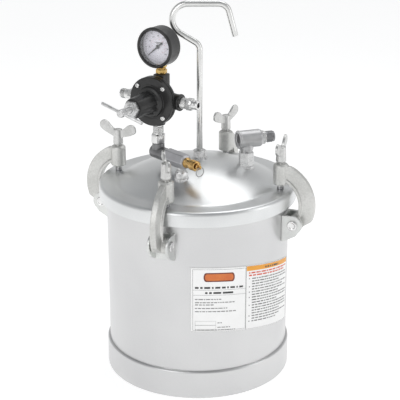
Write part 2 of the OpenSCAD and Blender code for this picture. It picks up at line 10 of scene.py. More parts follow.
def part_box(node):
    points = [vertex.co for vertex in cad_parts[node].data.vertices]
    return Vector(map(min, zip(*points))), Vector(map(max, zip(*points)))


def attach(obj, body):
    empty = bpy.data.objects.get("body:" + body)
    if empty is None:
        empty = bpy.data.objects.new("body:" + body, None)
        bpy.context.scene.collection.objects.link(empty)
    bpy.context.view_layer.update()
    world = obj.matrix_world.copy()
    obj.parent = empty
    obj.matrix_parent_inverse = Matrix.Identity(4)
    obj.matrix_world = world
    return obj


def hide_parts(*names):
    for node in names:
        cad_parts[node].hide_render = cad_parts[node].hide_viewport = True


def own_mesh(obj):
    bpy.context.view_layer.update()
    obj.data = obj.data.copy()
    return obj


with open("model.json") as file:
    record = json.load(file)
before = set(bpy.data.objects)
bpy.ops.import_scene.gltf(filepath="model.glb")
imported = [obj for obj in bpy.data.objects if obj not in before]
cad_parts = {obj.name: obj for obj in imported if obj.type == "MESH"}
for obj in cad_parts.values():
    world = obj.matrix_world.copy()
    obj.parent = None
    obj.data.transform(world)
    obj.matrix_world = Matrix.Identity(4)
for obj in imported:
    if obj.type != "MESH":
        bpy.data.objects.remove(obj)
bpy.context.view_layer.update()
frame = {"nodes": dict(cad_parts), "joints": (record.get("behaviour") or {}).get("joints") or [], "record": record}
record = frame["record"]
scene = bpy.context.scene
bodyOf = {node: body for body, nodes in record["behaviour"]["bodies"].items() for node in nodes}
jointPlace = {j["name"]: Vector(j["pos_m"]) * 1000 for j in frame["joints"] if "pos_m" in j}
print("frame loaded:", len(frame["nodes"]), "nodes")


# ---- shaping, in millimetres ----

def turned(angle, axis="Z"):
    return Matrix.Rotation(math.radians(angle), 4, axis)


def shifted(x, y, z):
    return Matrix.Translation((x, y, z))


alongX = turned(90, "Y")     # stands the axis of a lathe part along +X
alongY = turned(-90, "X")    # or along +Y
facingX = Matrix(((0, 0, 1, 0), (1, 0, 0, 0), (0, 1, 0, 0), (0, 0, 0, 1)))    # a flat drawing, seen from +X


def middle(node):
    low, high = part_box(node)
    return (low + high) * 500


def moved(bm, place):
    bm.transform(place)
    return bm


def meshOf(name, bm):
    mesh = bpy.data.meshes.new(name)
    bm.to_mesh(mesh)
    bm.free()
    return mesh


def linked(name, data):
    made = bpy.data.objects.new(name, data)
    scene.collection.objects.link(made)
    return made


def joined(*parts):
    whole = bmesh.new()
    for part in parts:
        spare = meshOf("spare", part)
        whole.from_mesh(spare)
        bpy.data.meshes.remove(spare)
    return whole


def cleaned(bm):
    bmesh.ops.remove_doubles(bm, verts=bm.verts[:], dist=0.0005)
    bmesh.ops.recalc_face_normals(bm, faces=bm.faces[:])
    return bm


def spun(bm, steps, angle=math.tau, rise=0, merged=True):
    # turns a section round +Z, rising evenly on the way
    bmesh.ops.spin(bm, geom=bm.verts[:] + bm.edges[:], cent=(0, 0, 0), axis=(0, 0, 1),
                   dvec=(0, 0, rise / steps), angle=angle, steps=steps, use_merge=merged)
    if not merged:
        closeEnds(bm)
    return cleaned(bm)


def closeEnds(bm):
    bmesh.ops.holes_fill(bm, edges=[e for e in bm.edges if len(e.link_faces) == 1], sides=0)


def thickened(bm, direction):
    # makes a flat drawing solid
    pulled = bmesh.ops.extrude_face_region(bm, geom=bm.faces[:])
    bmesh.ops.translate(bm, vec=direction,
                        verts=[g for g in pulled["geom"] if isinstance(g, bmesh.types.BMVert)])
    bmesh.ops.recalc_face_normals(bm, faces=bm.faces[:])
    return bm


def rounded(bm, geom, width, segments, affect):
    bmesh.ops.bevel(bm, geom=geom, offset=width, offset_type="OFFSET", affect=affect, segments=segments,
                    profile=0.5, material=-1, clamp_overlap=affect == "EDGES")


def roundPoints(bm, points, outline, segments):
    # a third number on a point of an outline is how far its corner is rounded
    for point, given in zip(points, outline):
        if len(given) > 2:
            rounded(bm, [point], given[2], segments, "VERTICES")


def lathe(outline, steps=72, segments=3):
    # turns a closed outline of (radius, height) round +Z
    bm = bmesh.new()
    points = [bm.verts.new((given[0], 0, given[1])) for given in outline]
    for start, end in zip(points, points[1:] + points[:1]):
        if start.co.x > 0 or end.co.x > 0:
            bm.edges.new((start, end))
    roundPoints(bm, points, outline, segments)
    return spun(bm, steps)


def rod(radius, low, high, edge=0.3, bore=0.0, steps=48):
    return lathe([(bore, low), (radius, low, edge), (radius, high, edge), (bore, high)], steps)


def bevelled(bm, width, segments=2, angle=30):
    sharp = [e for e in bm.edges if len(e.link_faces) == 2 and e.calc_face_angle(0) > math.radians(angle)]
    rounded(bm, sharp, width, segments, "EDGES")
    return bm


def hexBar(flat, low, high, chamfer=1.0, bore=0.0, steps=72):
    # a turned bar whose sides are drawn in to the six flats
    corner = flat / math.cos(math.radians(30))
    bm = lathe([(bore, low), (corner - 1.5 * chamfer, low), (corner, low + chamfer),
                (corner, high - chamfer), (corner - 1.5 * chamfer, high), (bore, high)], steps)
    for vert in bm.verts:
        reach = vert.co.xy.length
        fromFlat = math.remainder(math.atan2(vert.co.y, vert.co.x) - math.pi / 6, math.pi / 3)
        limit = flat / math.cos(fromFlat)
        if reach > limit:
            vert.co.xy *= limit / reach
    return bm


def wound(section, pitch, height, steps=24):
    # winds a closed section, given as (radius, height) points, up round +Z
    bm = bmesh.new()
    points = [bm.verts.new((radius, 0, z)) for radius, z in section]
    for start, end in zip(points, points[1:] + points[:1]):
        bm.edges.new((start, end))
    total = max(4, round(height / pitch * steps))
    return spun(bm, total, math.tau * total / steps, height, merged=False)


def threaded(radius, pitch, low, high, depth=0.7, bore=0.0):
    ridge = wound([(radius - depth, 0), (radius, 0.36 * pitch), (radius, 0.5 * pitch),
                   (radius - depth, 0.86 * pitch)], pitch, high - low - 1.9 * pitch)
    core = rod(radius - 0.9 * depth, low, high, edge=0.25, bore=bore)
    return joined(core, moved(ridge, shifted(0, 0, low + 0.5 * pitch)))


def ring(radius, wire, steps=64, sides=12):
    bm = bmesh.new()
    bmesh.ops.create_circle(bm, radius=wire, segments=sides, matrix=shifted(radius, 0, 0) @ turned(90, "X"))
    return spun(bm, steps)


def coil(radius, wire, low, high, turns, steps=28, sides=10):
    pitch = (high - low - 2 * wire) / turns
    section = [(radius + wire * math.cos(math.tau * k / sides), wire * math.sin(math.tau * k / sides))
               for k in range(sides)]
    return moved(wound(section, pitch, pitch * turns, steps), shifted(0, 0, low + wire))


def plate(outline, thickness, edge=0.4, segments=2, rounding=4):
    # an outline of (x, z) points, made thickness wide along Y
    bm = bmesh.new()
    points = [bm.verts.new((given[0], -thickness / 2, given[1])) for given in outline]
    bm.faces.new(points)
    roundPoints(bm, points, outline, rounding)
    return bevelled(thickened(bm, (0, thickness, 0)), edge, segments, 40)


def block(width, depth, height, edge=0.6, segments=2):
    bm = bmesh.new()
    bmesh.ops.create_cube(bm, size=1, matrix=Matrix.Diagonal((width, depth, height, 1)))
    return bevelled(bm, edge, segments)


def bentRod(radius, start, moves, sides=28):
    # follows straight runs and bends in the XZ plane, starting upwards
    bm = bmesh.new()
    bmesh.ops.create_circle(bm, radius=radius, segments=sides, matrix=Matrix.Translation(start))
    end, at, heading = bm.verts[:] + bm.edges[:], Vector(start), Vector((0, 0, 1))
    for kind, size, sweep in moves:
        if kind == "run":
            made = bmesh.ops.spin(bm, geom=end, cent=at, axis=(0, 1, 0), dvec=heading * size, angle=0,
                                  steps=1)
            at = at + heading * size
        else:
            # the bend's centre lies to the side that it turns to
            centre = at + Vector((heading.z, 0, -heading.x)) * math.copysign(size, sweep)
            made = bmesh.ops.spin(bm, geom=end, cent=centre, axis=(0, 1, 0), angle=math.radians(sweep),
                                  steps=max(6, round(abs(sweep) / 4)))
            turn = Matrix.Rotation(math.radians(sweep), 3, "Y")
            at, heading = centre + turn @ (at - centre), turn @ heading
        end = made["geom_last"]
    closeEnds(bm)
    return bevelled(cleaned(bm), 0.5, 2, 60)


def carried(node):
    # a merged copy of a CAD node
    bm = bmesh.new()
    bm.from_mesh(frame["nodes"][node].data)
    bm.transform(Matrix.Scale(1000, 4))
    bmesh.ops.remove_doubles(bm, verts=bm.verts[:], dist=0.002)
    return bm


def castSkin(bm, voxel, smoothing):
    # gives a shape the soft corners of a casting
    mesh = meshOf("casting", bm)
    blank = linked("casting", mesh)
    skin = blank.modifiers.new("Skin", "REMESH")
    skin.mode, skin.voxel_size = "VOXEL", voxel
    relax = blank.modifiers.new("Relax", "SMOOTH")
    relax.factor, relax.iterations = 0.5, smoothing
    bpy.context.view_layer.update()
    cast = bmesh.new()
    cast.from_object(blank, bpy.context.evaluated_depsgraph_get())
    bpy.data.objects.remove(blank)
    bpy.data.meshes.remove(mesh)
    return cast


def piece(name, bm, finish, *nodes, place=None, sharp=35):
    # makes a finished piece of a shape, attached to the body of the first CAD node that is named
    bm.transform(Matrix.Scale(0.001, 4) @ (place or Matrix()))
    for face in bm.faces:
        face.smooth = True
    for edge in bm.edges:
        edge.smooth = len(edge.link_faces) == 2 and edge.calc_face_angle(0) < math.radians(sharp)
    made = linked(name, meshOf(name, bm))
    made.data.materials.append(finish)
    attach(made, bodyOf[nodes[0]])
    return made


def standIn(name, bm, finish, *nodes, place=None, sharp=35):
    made = piece(name, bm, finish, *nodes, place=place, sharp=sharp)
    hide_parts(*nodes)
    return made


# ---- finishes ----

class Value:
    # a socket that can be written in a sum
    def __init__(self, finish, socket):
        self.finish, self.socket = finish, socket

    def work(self, operation, first, second):
        return self.finish.add("Math", {"operation": operation}, {0: first, 1: second})

    def __add__(self, other):
        return self.work("ADD", self, other)

    def __sub__(self, other):
        return self.work("SUBTRACT", self, other)

    def __rsub__(self, other):
        return self.work("SUBTRACT", other, self)

    def __mul__(self, other):
        return self.work("MULTIPLY", self, other)

    __radd__, __rmul__ = __add__, __mul__


class Finish:
    def __init__(self, name, **uniform):
        self.material = bpy.data.materials.new(name)
        self.material.use_nodes = True
        self.tree = self.material.node_tree
        self.shader = self.tree.nodes["Principled BSDF"]
        self.spot = self.add("TexCoord", output="Object")
        for socket, value in uniform.items():
            self.shader.inputs[socket.replace("_", " ")].default_value = value

    def add(self, kind, settings=None, inputs=None, output=0):
        made = self.tree.nodes.new("ShaderNode" + kind)
        for key, value in (settings or {}).items():
            if key == "stops":
                for stop, (position, colour) in zip(made.color_ramp.elements, value):
                    stop.position, stop.color = position, colour
            else:
                setattr(made, key, value)
        for key, value in (inputs or {}).items():
            self.feed(made.inputs[key], value)
        return Value(self, made.outputs[output])

    def feed(self, socket, value):
        if isinstance(value, Value):
            self.tree.links.new(value.socket, socket)
        else:
            socket.default_value = value

    def noise(self, scale, detail=3.0, roughness=0.55):
        return self.add("TexNoise", None, {"Vector": self.spot, "Scale": scale, "Detail": detail,
                                           "Roughness": roughness})

    def lines(self, axis, scale):
        # marks that run round an axis, as a lathe or a roll leaves them
        along = self.add("VectorMath", {"operation": "DOT_PRODUCT"}, {0: self.spot, 1: axis}, output="Value")
        return self.add("TexNoise", {"noise_dimensions": "1D"}, {"W": along, "Scale": scale, "Detail": 4.0})

    def ramp(self, value, low, high):
        return self.add("MapRange", {"interpolation_type": "SMOOTHSTEP"},
                        {"Value": value, "From Min": low, "From Max": high})

    def mix(self, share, first, second):
        return self.add("Mix", {"data_type": "RGBA"}, {0: share, 6: first, 7: second}, output=2)

    def edges(self, low=0.52, high=0.6):
        return self.ramp(self.add("NewGeometry", output="Pointiness"), low, high)

    def wear(self, colour=None, roughness=None, metallic=None, height=None, depth=0.0001, strength=0.5):
        for socket, value in (("Base Color", colour), ("Roughness", roughness), ("Metallic", metallic)):
            if value is not None:
                self.feed(self.shader.inputs[socket], value)
        if height is not None:
            bump = self.add("Bump", None, {"Strength": strength, "Distance": depth, "Height": height},
                            output="Normal")
            self.feed(self.shader.inputs["Normal"], bump)
        return self.material


def tone(red, green=None, blue=None):
    return (red, red if green is None else green, red if blue is None else blue, 1)


def metal(name, dark, light, axis=None, roughness=0.3, spread=0.12, metallic=1.0, grain=900, lineScale=1500,
          depth=0.00006, strength=0.35, patches=45):
    finish = Finish(name, Metallic=metallic)
    fine = finish.noise(grain, 3)
    broad = finish.noise(patches, 2)
    marks = finish.lines(axis, lineScale) if axis else fine
    shade = finish.ramp(broad * 0.6 + marks * 0.4, 0.3, 0.7)
    return finish.wear(colour=finish.mix(shade, dark, light),
                       roughness=roughness + (fine + marks - 1.0) * spread + (broad - 0.5) * spread,
                       height=fine * 0.5 + marks * 0.5, depth=depth, strength=strength)


def casting(name, dark, light, roughness=0.42, metallic=0.75, depth=0.00025):
    finish = Finish(name)
    coarse, fine, broad = finish.noise(420, 4), finish.noise(1500, 3), finish.noise(35, 2)
    rubbed = finish.edges()
    body = finish.mix(finish.ramp(broad * 0.5 + coarse * 0.5, 0.35, 0.65), dark, light)
    return finish.wear(colour=finish.mix(rubbed * 0.35, body, tone(0.93, 0.93, 0.91)),
                       roughness=roughness + (coarse - 0.5) * 0.2 - rubbed * 0.1,
                       metallic=metallic + rubbed * 0.1, height=coarse * 0.7 + fine * 0.3, depth=depth,
                       strength=0.4)


def enamel(name, dark, light, roughness=0.3, depth=0.00012, grain=520):
    finish = Finish(name, Specular_IOR_Level=0.38, Coat_Weight=0.15, Coat_Roughness=0.08)
    peel, broad, dust = finish.noise(grain, 2), finish.noise(60, 3), finish.noise(2200, 2)
    rubbed = finish.edges(0.53, 0.62)
    body = finish.mix(finish.ramp(broad, 0.35, 0.7), dark, light)
    return finish.wear(colour=finish.mix(rubbed * 0.3, body, tone(0.12, 0.12, 0.125)),
                       roughness=roughness + (peel - 0.5) * 0.12 + (dust - 0.5) * 0.1,
                       height=peel * 0.8 + dust * 0.2, depth=depth, strength=0.4)


def printed(name, dark, light, roughness=0.45, grain=1800):
    finish = Finish(name)
    fibre, broad = finish.noise(grain, 2), finish.noise(70, 2)
    return finish.wear(colour=finish.mix(finish.ramp(fibre * 0.5 + broad * 0.5, 0.35, 0.65), dark, light),
                       roughness=roughness + (fibre - 0.5) * 0.15, height=fibre, depth=0.00003, strength=0.3)


def brightZinc(name, axis, roughness, depth=0.00006):
    return metal(name, tone(0.60), tone(0.86, 0.86, 0.85), axis=axis, roughness=roughness, depth=depth)


def direction(place):
    return tuple((place.to_3x3() @ Vector((0, 0, 1))).normalized())


# places of the groups, in millimetres, from the frame
clampAngles = {"front": -90, "right": 0, "back": 90, "left": 180}
airPort = middle("air_port")
ringPlace = jointPlace["ring_swing"]
manifoldPlace = Matrix.Translation((airPort.x, airPort.y, ringPlace.z)) @ turned(150)
regulatorPlace = Matrix.Translation(jointPlace["t_screw_turn"]) @ turned(-102)
regulatorLying = regulatorPlace @ alongX
gaugePlace = Matrix.Translation(jointPlace["needle_swing"]) @ turned(-102)
outletPort = middle("dip_tube")
teePlace = Matrix.Translation((outletPort.x, outletPort.y, middle("outlet_nipple").z)) @ turned(40)

upAxis = (0, 0, 1)
manifoldAxis = direction(manifoldPlace @ alongX)
regulatorAxis = direction(regulatorLying)
sideAxis = direction(regulatorPlace @ alongY)
teeAxis = direction(teePlace @ alongX)

shellSteel = metal("shellSteel", tone(0.60, 0.60, 0.605), tone(0.67, 0.67, 0.67), roughness=0.31, spread=0.05,
                   metallic=0.92, grain=1300, depth=0.00003, strength=0.15, patches=9)
lidSteel = metal("lidSteel", tone(0.68, 0.69, 0.692), tone(0.77, 0.78, 0.78), roughness=0.33, spread=0.08,
                 metallic=0.96, grain=1100, depth=0.00003, strength=0.15, patches=14)
bracketSteel = metal("bracketSteel", tone(0.62, 0.63, 0.62), tone(0.76, 0.77, 0.75), roughness=0.38,
                     metallic=0.85, grain=800)
brightZincUp = brightZinc("brightZincUp", upAxis, 0.2)
brightZincManifold = brightZinc("brightZincManifold", manifoldAxis, 0.2)
brightZincRegulator = brightZinc("brightZincRegulator", regulatorAxis, 0.22)
brightZincSide = brightZinc("brightZincSide", sideAxis, 0.24, 0.00015)
brightZincOutlet = brightZinc("brightZincOutlet", teeAxis, 0.24)
rodSteel = metal("rodSteel", tone(0.66, 0.66, 0.65), tone(0.80, 0.80, 0.79), roughness=0.24, spread=0.06,
                 grain=700, patches=30)
satinZinc = metal("satinZinc", tone(0.50), tone(0.74), roughness=0.3, metallic=0.85,
                  grain=900, patches=150)
ringSteel = metal("ringSteel", tone(0.28), tone(0.45), roughness=0.3, grain=900)
greySteelManifold = metal("greySteelManifold", tone(0.42, 0.42, 0.435), tone(0.56, 0.56, 0.58),
                          axis=manifoldAxis, roughness=0.34, metallic=0.85)
darkSteelManifold = metal("darkSteelManifold", tone(0.15, 0.15, 0.155), tone(0.27, 0.27, 0.275),
                          axis=manifoldAxis, roughness=0.34, metallic=0.85)
teeSteel = metal("teeSteel", tone(0.50, 0.50, 0.505), tone(0.64, 0.64, 0.645), axis=teeAxis, roughness=0.4,
                 metallic=0.8, depth=0.00012)
threadSteel = metal("threadSteel", tone(0.22, 0.22, 0.225), tone(0.36, 0.36, 0.37), axis=teeAxis,
                    roughness=0.36, metallic=0.9)
springSteel = metal("springSteel", tone(0.34, 0.34, 0.35), tone(0.52, 0.52, 0.53), roughness=0.3)
brassManifold = metal("brassManifold", tone(0.44, 0.26, 0.08), tone(0.74, 0.52, 0.24), axis=manifoldAxis,
                      roughness=0.24, spread=0.1, patches=120)
brassUp = metal("brassUp", tone(0.46, 0.28, 0.08), tone(0.78, 0.56, 0.22), axis=upAxis, roughness=0.24,
                spread=0.1, patches=120)
clampCasting = casting("clampCasting", tone(0.56, 0.56, 0.54), tone(0.69, 0.69, 0.67))
wingCasting = casting("wingCasting", tone(0.52, 0.52, 0.51), tone(0.68, 0.68, 0.67), roughness=0.34,
                      metallic=0.9, depth=0.00015)
blackEnamel = enamel("blackEnamel", tone(0.016), tone(0.028))
gaugeBlack = enamel("gaugeBlack", tone(0.022), tone(0.04), roughness=0.38, depth=0.0002, grain=900)
needleBlack = enamel("needleBlack", tone(0.01), tone(0.02), roughness=0.35)
rubber = printed("rubber", tone(0.02), tone(0.04), roughness=0.7, grain=1200)
dialWhite = printed("dialWhite", tone(0.84, 0.82, 0.91), tone(0.92, 0.90, 0.97), roughness=0.3)
dialInk = printed("dialInk", tone(0.04), tone(0.08), roughness=0.4)
dialRed = printed("dialRed", tone(0.50, 0.14, 0.16), tone(0.62, 0.2, 0.22), roughness=0.4)
labelFilm = printed("labelFilm", tone(0.93, 0.93, 0.925), tone(0.97, 0.97, 0.965), roughness=0.42, grain=1500)
inkDark = printed("inkDark", tone(0.035), tone(0.07))
inkGrey = printed("inkGrey", tone(0.16), tone(0.25))
inkOrange = printed("inkOrange", tone(0.83, 0.33, 0.03), tone(0.90, 0.42, 0.05))
inkRed = printed("inkRed", tone(0.62, 0.07, 0.03), tone(0.74, 0.12, 0.06))
inkMaroon = printed("inkMaroon", tone(0.12, 0.02, 0.012), tone(0.2, 0.035, 0.02))
inkBadge = printed("inkBadge", tone(0.64, 0.14, 0.035), tone(0.74, 0.22, 0.05))
glass = Finish("glass", Alpha=0.08, Roughness=0.04, IOR=1.5, Coat_Weight=0.0)
smear = glass.noise(120, 2)
glass = glass.wear(colour=glass.mix(smear, tone(0.93, 0.95, 0.97), tone(0.98, 0.99, 1.0)),
                   roughness=0.03 + smear * 0.05)
print("finishes made:", len(bpy.data.materials))


# ---- tank ----

tank = {"radius": 122, "wall": 1.5, "base": 12, "knuckle": 22, "top": 246, "steps": 192}


def arc(centre, radius, first, last, count):
    return [(centre[0] + radius * math.cos(math.radians(first + (last - first) * k / count)),
             centre[1] + radius * math.sin(math.radians(first + (last - first) * k / count)))
            for k in range(count + 1)]


def makeShell():
    outer, inner = tank["radius"], tank["radius"] - tank["wall"]
    bend = (outer - tank["knuckle"], tank["base"] + 4 + tank["knuckle"])
    outline = [(0, tank["base"])] + arc(bend, tank["knuckle"], -78, 0, 14) + [(outer, tank["top"] + 1)]
    outline += [(inner, tank["top"] + 1)] + arc(bend, tank["knuckle"] - tank["wall"], 0, -78, 14)
    outline += [(0, tank["base"] + tank["wall"])]
    standIn("tankShell", lathe(outline, tank["steps"]), shellSteel, "tank_shell")


foot = {"inner": 122, "outer": 125.3, "height": 38.4, "edge": 2.9}


def makeFoot():
    # a rolled band with a rounded top edge, welded on in short runs
    band = lathe([(foot["inner"] - 0.3, 0), (foot["outer"], 0, 0.8),
                  (foot["outer"], foot["height"], foot["edge"]),
                  (foot["inner"] - 0.3, foot["height"])], tank["steps"], 5)
    standIn("footRing", band, shellSteel, "foot_ring")
    rim = {"inner": 118, "outer": 127, "low": tank["top"], "high": 254}
    rolled = lathe([(rim["inner"], rim["low"]), (rim["outer"], rim["low"], 1.4),
                    (rim["outer"], rim["high"], 2.2), (rim["inner"], rim["high"], 1.4)], tank["steps"], 4)
    standIn("tankRim", rolled, shellSteel, "tank_rim")
    weldDots = {"angles": (-97, -86, 50, 140), "count": 7, "step": 1.5, "size": 1.1}
    beads = []
    for angle in weldDots["angles"]:
        for k in range(weldDots["count"]):
            bead = bmesh.new()
            bmesh.ops.create_uvsphere(bead, u_segments=10, v_segments=6, radius=weldDots["size"])
            around = turned(angle + weldDots["step"] * 0.55 * k)
            beads.append(moved(bead, around @ shifted(tank["radius"] + 0.5, 0, foot["height"])
                               @ Matrix.Diagonal((0.9, 1.0, 0.55, 1))))
    piece("footWelds", joined(*beads), bracketSteel, "foot_ring")


def makeBrackets():
    pressed = castSkin(carried("bracket_right"), 0.6, 2)
    for side, angle in clampAngles.items():
        standIn("bracket" + side.capitalize(), pressed.copy(), bracketSteel, "bracket_" + side,
                place=turned(angle))
    pressed.free()
    pin = {"circle": 136, "height": 218, "radius": 4, "head": 6.8, "headLow": 13.9, "headHigh": 16.4,
           "tail": -17.2}
    pinSides = {"front": 1, "right": -1, "back": 1, "left": 1}
    pins, clips = [], []
    for side, angle in clampAngles.items():
        at = turned(angle) @ shifted(pin["circle"], 0, pin["height"]) @ turned(-90 * pinSides[side], "X")
        pins.append(moved(lathe([
            (0, pin["tail"]), (pin["radius"], pin["tail"], 0.8), (pin["radius"], pin["headLow"]),
            (pin["head"], pin["headLow"], 0.4), (pin["head"], pin["headHigh"], 1.1),
            (pin["head"] - 2.2, pin["headHigh"], 0.6), (pin["head"] - 3.4, pin["headHigh"] - 0.7, 0.6),
            (0, pin["headHigh"] - 0.7)], 40), at))
        clip = lathe([(4, -15.4), (6.2, -15.4, 0.3), (6.2, -14, 0.3), (4, -14)], 40)
        clips.append(moved(clip, at))
    standIn("pivotPins", joined(*pins), brightZincUp, "pivot_pins")
    standIn("pinClips", joined(*clips), springSteel, "pin_clips")


makeShell()
makeFoot()
makeBrackets()
print("tank made")


# ---- label: its edges lean a little as they go round ----

label = {"radius": 122.42, "start": -74.5, "lean": 26.6, "middle": 113.8, "width": 170.35, "height": 90,
         "divide": 75, "film": 0.3, "ink": 0.03, "lift": 0.02}


def onTank(bm, lift):
    for vert in bm.verts:
        around = math.radians(label["start"]) + vert.co.x / tank["radius"]
        drop = label["lean"] * math.cos(around - math.radians(label["start"]))
        reach = label["radius"] + lift + vert.co.z
        height = label["middle"] + drop + vert.co.y
        vert.co = Vector((reach * math.cos(around), reach * math.sin(around), height))
    return bm


def stripe(left, right, low, high, lift, thickness, cell=5.0):
    # a thin flat block, bent round the tank; left to right is along the label and 0 is half way up it
    bm = bmesh.new()
    across = max(1, round((right - left) / cell))
    bmesh.ops.create_grid(bm, x_segments=across, y_segments=1, size=0.5)
    moved(bm, shifted((left + right) / 2, (low + high) / 2, 0)
          @ Matrix.Diagonal((right - left, high - low, 1, 1)))
    return onTank(thickened(bm, (0, 0, thickness)), lift)


def printedBar(left, right, low, high):
    return stripe(left, right, low, high, label["lift"], label["ink"])


def words(left, right, level, height, shuffle, longest=6.0):
    # a line of plain dashes, as long as words are
    made, at = [], left
    while at < right - 1.5:
        size = min(shuffle.uniform(1.6, longest), right - at)
        made.append(printedBar(at, at + size, level - height / 2, level + height / 2))
        at += size + height * 0.8
    return made


def frameLines(left, right, low, high, line):
    return [printedBar(left, right, low, low + line), printedBar(left, right, high - line, high),
            printedBar(left, left + line, low, high), printedBar(right - line, right, low, high)]


def pill(width, height, level, centre, lift):
    # a rounded bar
    bm = bmesh.new()
    bmesh.ops.create_grid(bm, x_segments=12, y_segments=1, size=0.5)
    bm.transform(Matrix.Diagonal((width, height, 1, 1)))
    rounded(bm, [v for v in bm.verts if len(v.link_edges) == 2], height * 0.48, 6, "VERTICES")
    return onTank(moved(thickened(bm, (0, 0, label["ink"])), shifted(centre, level, 0)), lift)


def makeLabel():
    high, lift, divide = label["height"] / 2, label["lift"], label["divide"]
    shuffle = random.Random(7)
    film = stripe(0, label["width"], -high, high, -label["film"], label["film"], 3.0)
    standIn("labelSheet", film, labelFilm, "spec_label")

    def level(share):
        return high - share * label["height"]

    dark = frameLines(3, divide - 0.8, -high + 2, high - 2.6, 0.35)
    dark += frameLines(0.4, label["width"] - 0.4, -high + 0.4, high - 0.4, 0.25)
    dark += words(6, divide - 5, level(0.31), 2.6, shuffle, 11)
    dark += words(19, divide - 19, level(0.39), 2.6, shuffle, 22)
    dark += [printedBar(3, divide - 0.8, level(share) - 0.15, level(share) + 0.15)
             for share in (0.345, 0.425)]
    dark.append(printedBar(divide - 0.4, divide, -high + 0.6, high - 0.6))
    dark += words(divide + 32, divide + 62, level(0.052), 2.4, shuffle, 9)
    grey = []
    for share, reach in ((0.49, 34), (0.54, 52), (0.575, 24), (0.63, 42), (0.68, 54)):
        grey += words(6, 6 + reach, level(share), 1.3, shuffle)
    for low in (level(0.96), level(0.895)):
        grey += frameLines(6, 33, low, low + 5.8, 0.25)
    grey += words(35, 41, level(0.86), 1.2, shuffle, 4) + words(35, 52, level(0.93), 1.2, shuffle, 5)
    grey += words(6, 60, level(0.97), 0.9, shuffle)
    lines, first, last = 17, 0.205, 0.875
    numbered = (0, 3, 5, 7, 10, 14, 16)
    for k in range(lines):
        share = first + (last - first) * k / (lines - 1)
        if k in numbered:
            grey.append(printedBar(divide + 4, divide + 5.6, level(share) - 0.7, level(share) + 0.7))
        reach = label["width"] - 5 - (shuffle.uniform(8, 34) if k + 1 in numbered or k == lines - 1 else 0)
        grey += words(divide + 9, reach, level(share), 1.6, shuffle, 8)
    red = words(divide + 4, label["width"] - 5, level(0.115), 2.0, shuffle, 9)
    red += words(divide + 4, label["width"] - 14, level(0.155), 2.0, shuffle, 9)
    piece("labelInkDark", joined(*dark), inkDark, "spec_label")
    piece("labelInkGrey", joined(*grey), inkGrey, "spec_label")
    piece("labelInkRed", joined(*red), inkRed, "spec_label")
    band = stripe(divide + 0.4, label["width"] - 1, high - 7.4, high - 0.9, 0, label["ink"])
    piece("labelInkOrange", band, inkOrange, "spec_label")
    piece("labelBadge", pill(41, 12.4, level(0.15), divide / 2, lift), inkMaroon, "spec_label")
    piece("labelBadgeFace", pill(37.5, 9.2, level(0.15), divide / 2, lift + 0.03), inkBadge, "spec_label")


makeLabel()
print("label made")


# ---- lid ----

lid = {"radius": 132, "seat": 262, "wall": 3, "skirt": 20, "skirtWall": 2.7, "dome": 107, "rise": 30,
       "shoulder": 5, "crease": 3}
domeRadius = (lid["dome"] ** 2 + lid["rise"] ** 2) / (2 * lid["rise"])
domeCentre = lid["seat"] + lid["rise"] - domeRadius


def domeAt(reach):
    return domeCentre + math.sqrt(domeRadius ** 2 - reach ** 2)


def makeLid():
    slope = math.degrees(math.acos((lid["dome"] - 3) / domeRadius))
    under = lid["seat"] - lid["wall"]
    bottom = lid["seat"] - lid["skirt"]
    inner = domeRadius - lid["wall"]
    outline = arc((0, domeCentre), domeRadius, 90, slope, 40)[:-1]
    outline = [(max(0.0, r), z) for r, z in outline]
    outline += [(lid["dome"], lid["seat"], lid["crease"]), (lid["radius"], lid["seat"], lid["shoulder"]),
                (lid["radius"], bottom, 1.0), (lid["radius"] - lid["skirtWall"], bottom, 0.8),
                (lid["radius"] - lid["skirtWall"], under, 2.0), (lid["dome"], under)]
    outline += [(max(0.0, r), z) for r, z in arc((0, domeCentre), inner, slope, 90, 40)[1:]]
    standIn("lidShell", lathe(outline, tank["steps"], 6), lidSteel, "lid_shell")
    gasket = {"inner": 118, "outer": 129, "low": 254.05, "high": 258.95}
    seal = lathe([(gasket["inner"], gasket["low"]), (gasket["outer"], gasket["low"], 0.8),
                  (gasket["outer"], gasket["high"], 0.8), (gasket["inner"], gasket["high"])], tank["steps"])
    standIn("lidGasket", seal, rubber, "lid_gasket")
    boss = {"radius": 8.7, "top": 303, "weld": 11.2}
    top = lathe([(0, domeAt(0) - 2), (boss["weld"], domeAt(boss["weld"]) - 1.2),
                 (boss["weld"], domeAt(boss["weld"]) + 0.6, 0.8), (boss["radius"], domeAt(0) + 2.4, 1.2),
                 (boss["radius"], boss["top"], 1.0), (6.2, boss["top"], 0.6), (4.2, boss["top"] - 0.9),
                 (0, boss["top"] - 0.9)])
    at = middle("centre_boss")
    standIn("centreBoss", top, satinZinc, "centre_boss", place=shifted(at.x, at.y, 0))


hook = {"radius": 4.1, "at": (2.2, 0.8), "angle": 20, "foot": 294.4, "top": 497.8, "bend": (12, 59),
        "loop": (20.5, 149), "loopAt": -14.5, "nose": (14, 75), "noseAt": 24, "tip": 32.25}


